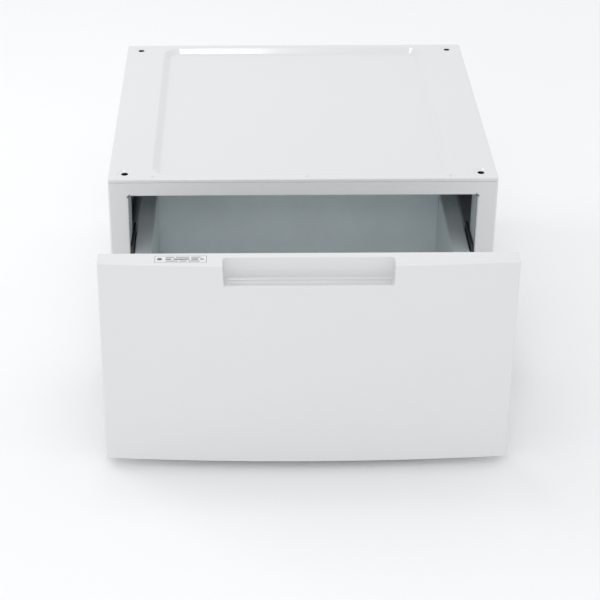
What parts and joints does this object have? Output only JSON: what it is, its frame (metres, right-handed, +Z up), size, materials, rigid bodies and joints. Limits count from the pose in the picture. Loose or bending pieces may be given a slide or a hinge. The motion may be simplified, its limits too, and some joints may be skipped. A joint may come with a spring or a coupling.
{
  "type": "laundry pedestal",
  "caption": "White laundry pedestal for a front load washer or dryer: folded steel cabinet with a sunken top pan, a bowed storage drawer with a finger scoop on ball slides, on levelling legs.",
  "frame": {"origin": "on the floor, under the middle of the whole object as it stands in the picture, drawer partly out", "axes": "+X to the right as seen from the front, +Y towards the back, +Z up; the drawer opens towards -Y"},
  "size_m": [0.686, 0.9672, 0.394],
  "materials": {
    "white_enamel": "smooth gloss enamel",
    "white_gloss_plastic": "smooth, glossy",
    "galvanised_steel": "bare zinc-coated sheet, satin",
    "zinc_plated_steel": "bright zinc plating",
    "black_plastic": "moulded, matte",
    "grey_rubber": "matte"
  },
  "bodies": {
    "cabinet": {"top_deck": "white_enamel", "front_frame": "white_enamel", "left_side_panel": "white_enamel", "right_side_panel": "white_enamel", "rear_panel": "galvanised_steel", "left_base_rail": "galvanised_steel", "right_base_rail": "galvanised_steel", "front_base_rail": "galvanised_steel", "rear_base_rail": "galvanised_steel", "left_deck_channel": "galvanised_steel", "right_deck_channel": "galvanised_steel", "front_column_left": "galvanised_steel", "front_column_right": "galvanised_steel", "left_slide_bracket": "galvanised_steel", "right_slide_bracket": "galvanised_steel", "slide_guide_left": "black_plastic", "slide_guide_right": "black_plastic", "slide_outer_left": "zinc_plated_steel", "slide_outer_right": "zinc_plated_steel", "leg_lock_nut_front_left": "zinc_plated_steel", "leg_lock_nut_front_right": "zinc_plated_steel", "leg_lock_nut_rear_left": "zinc_plated_steel", "leg_lock_nut_rear_right": "zinc_plated_steel", "rear_panel_screw_left_low": "zinc_plated_steel", "rear_panel_screw_left_high": "zinc_plated_steel", "rear_panel_screw_right_low": "zinc_plated_steel", "rear_panel_screw_right_high": "zinc_plated_steel"},
    "drawer": {"drawer_front_shell": "white_gloss_plastic", "drawer_front_liner": "white_enamel", "drawer_left_side": "galvanised_steel", "drawer_right_side": "galvanised_steel", "drawer_inner_front": "galvanised_steel", "drawer_back": "galvanised_steel", "drawer_floor": "galvanised_steel", "slide_inner_left": "zinc_plated_steel", "slide_inner_right": "zinc_plated_steel", "drawer_front_screw_left_low": "zinc_plated_steel", "drawer_front_screw_left_high": "zinc_plated_steel", "drawer_front_screw_right_low": "zinc_plated_steel", "drawer_front_screw_right_high": "zinc_plated_steel", "drawer_bumper_left_low": "grey_rubber", "drawer_bumper_left_high": "grey_rubber", "drawer_bumper_right_low": "grey_rubber", "drawer_bumper_right_high": "grey_rubber"},
    "slide_middle_left": {"slide_middle_left": "zinc_plated_steel"},
    "ball_cage_outer_left": {"ball_cage_outer_left": "zinc_plated_steel"},
    "ball_cage_inner_left": {"ball_cage_inner_left": "zinc_plated_steel"},
    "release_lever_left": {"release_lever_left": "black_plastic"},
    "slide_middle_right": {"slide_middle_right": "zinc_plated_steel"},
    "ball_cage_outer_right": {"ball_cage_outer_right": "zinc_plated_steel"},
    "ball_cage_inner_right": {"ball_cage_inner_right": "zinc_plated_steel"},
    "release_lever_right": {"release_lever_right": "black_plastic"},
    "foot_pad_front_left": {"foot_pad_front_left": "grey_rubber"},
    "leg_stem_front_left": {"leg_stem_front_left": "zinc_plated_steel"},
    "foot_pad_front_right": {"foot_pad_front_right": "grey_rubber"},
    "leg_stem_front_right": {"leg_stem_front_right": "zinc_plated_steel"},
    "foot_pad_rear_left": {"foot_pad_rear_left": "grey_rubber"},
    "leg_stem_rear_left": {"leg_stem_rear_left": "zinc_plated_steel"},
    "foot_pad_rear_right": {"foot_pad_rear_right": "grey_rubber"},
    "leg_stem_rear_right": {"leg_stem_rear_right": "zinc_plated_steel"}
  },
  "joints": [
    {"name": "drawer_slide", "type": "slide", "parent": "cabinet", "child": "drawer", "axis": [0, -1, 0], "range_m": [-0.267, 0.233]},
    {"name": "slide_middle_left_slide", "type": "slide", "parent": "cabinet", "child": "slide_middle_left", "axis": [0, -1, 0], "range_m": [-0.1335, 0.1165]},
    {"name": "ball_cage_outer_left_slide", "type": "slide", "parent": "cabinet", "child": "ball_cage_outer_left", "axis": [0, -1, 0], "range_m": [-0.06675, 0.05825]},
    {"name": "ball_cage_inner_left_slide", "type": "slide", "parent": "cabinet", "child": "ball_cage_inner_left", "axis": [0, -1, 0], "range_m": [-0.20025, 0.17475]},
    {"name": "release_lever_left_hinge", "type": "hinge", "parent": "drawer", "child": "release_lever_left", "pos_m": [-0.275, -0.1964, 0.212], "axis": [-1, 0, 0], "range_deg": [0, 8], "stiffness_Nm_per_rad": 0.02, "springref_deg": -11.46},
    {"name": "slide_middle_right_slide", "type": "slide", "parent": "cabinet", "child": "slide_middle_right", "axis": [0, -1, 0], "range_m": [-0.1335, 0.1165]},
    {"name": "ball_cage_outer_right_slide", "type": "slide", "parent": "cabinet", "child": "ball_cage_outer_right", "axis": [0, -1, 0], "range_m": [-0.06675, 0.05825]},
    {"name": "ball_cage_inner_right_slide", "type": "slide", "parent": "cabinet", "child": "ball_cage_inner_right", "axis": [0, -1, 0], "range_m": [-0.20025, 0.17475]},
    {"name": "release_lever_right_hinge", "type": "hinge", "parent": "drawer", "child": "release_lever_right", "pos_m": [0.275, -0.1964, 0.212], "axis": [-1, 0, 0], "range_deg": [0, 8], "stiffness_Nm_per_rad": 0.02, "springref_deg": -11.46},
    {"name": "foot_pad_front_left_rise", "type": "slide", "parent": "cabinet", "child": "foot_pad_front_left", "axis": [0, 0, -1], "range_m": [0, 0.02]},
    {"name": "leg_stem_front_left_turn", "type": "hinge", "parent": "foot_pad_front_left", "child": "leg_stem_front_left", "pos_m": [-0.3135, -0.1244, 0.02], "axis": [0, 0, -1], "range_deg": [0, 4801]},
    {"name": "foot_pad_front_right_rise", "type": "slide", "parent": "cabinet", "child": "foot_pad_front_right", "axis": [0, 0, -1], "range_m": [0, 0.02]},
    {"name": "leg_stem_front_right_turn", "type": "hinge", "parent": "foot_pad_front_right", "child": "leg_stem_front_right", "pos_m": [0.3135, -0.1244, 0.02], "axis": [0, 0, -1], "range_deg": [0, 4801]},
    {"name": "foot_pad_rear_left_rise", "type": "slide", "parent": "cabinet", "child": "foot_pad_rear_left", "axis": [0, 0, -1], "range_m": [0, 0.02]},
    {"name": "leg_stem_rear_left_turn", "type": "hinge", "parent": "foot_pad_rear_left", "child": "leg_stem_rear_left", "pos_m": [-0.3135, 0.4396, 0.02], "axis": [0, 0, -1], "range_deg": [0, 4801]},
    {"name": "foot_pad_rear_right_rise", "type": "slide", "parent": "cabinet", "child": "foot_pad_rear_right", "axis": [0, 0, -1], "range_m": [0, 0.02]},
    {"name": "leg_stem_rear_right_turn", "type": "hinge", "parent": "foot_pad_rear_right", "child": "leg_stem_rear_right", "pos_m": [0.3135, 0.4396, 0.02], "axis": [0, 0, -1], "range_deg": [0, 4801]}
  ],
  "couplings": [
    {"joint": "slide_middle_left_slide", "follows": "drawer_slide", "ratio": 0.5},
    {"joint": "ball_cage_outer_left_slide", "follows": "drawer_slide", "ratio": 0.25},
    {"joint": "ball_cage_inner_left_slide", "follows": "drawer_slide", "ratio": 0.75},
    {"joint": "slide_middle_right_slide", "follows": "drawer_slide", "ratio": 0.5},
    {"joint": "ball_cage_outer_right_slide", "follows": "drawer_slide", "ratio": 0.25},
    {"joint": "ball_cage_inner_right_slide", "follows": "drawer_slide", "ratio": 0.75},
    {"joint": "leg_stem_front_left_turn", "follows": "foot_pad_front_left_rise", "rad_per_m": 4188.8},
    {"joint": "leg_stem_front_right_turn", "follows": "foot_pad_front_right_rise", "rad_per_m": 4188.8},
    {"joint": "leg_stem_rear_left_turn", "follows": "foot_pad_rear_left_rise", "rad_per_m": 4188.8},
    {"joint": "leg_stem_rear_right_turn", "follows": "foot_pad_rear_right_rise", "rad_per_m": 4188.8}
  ]
}
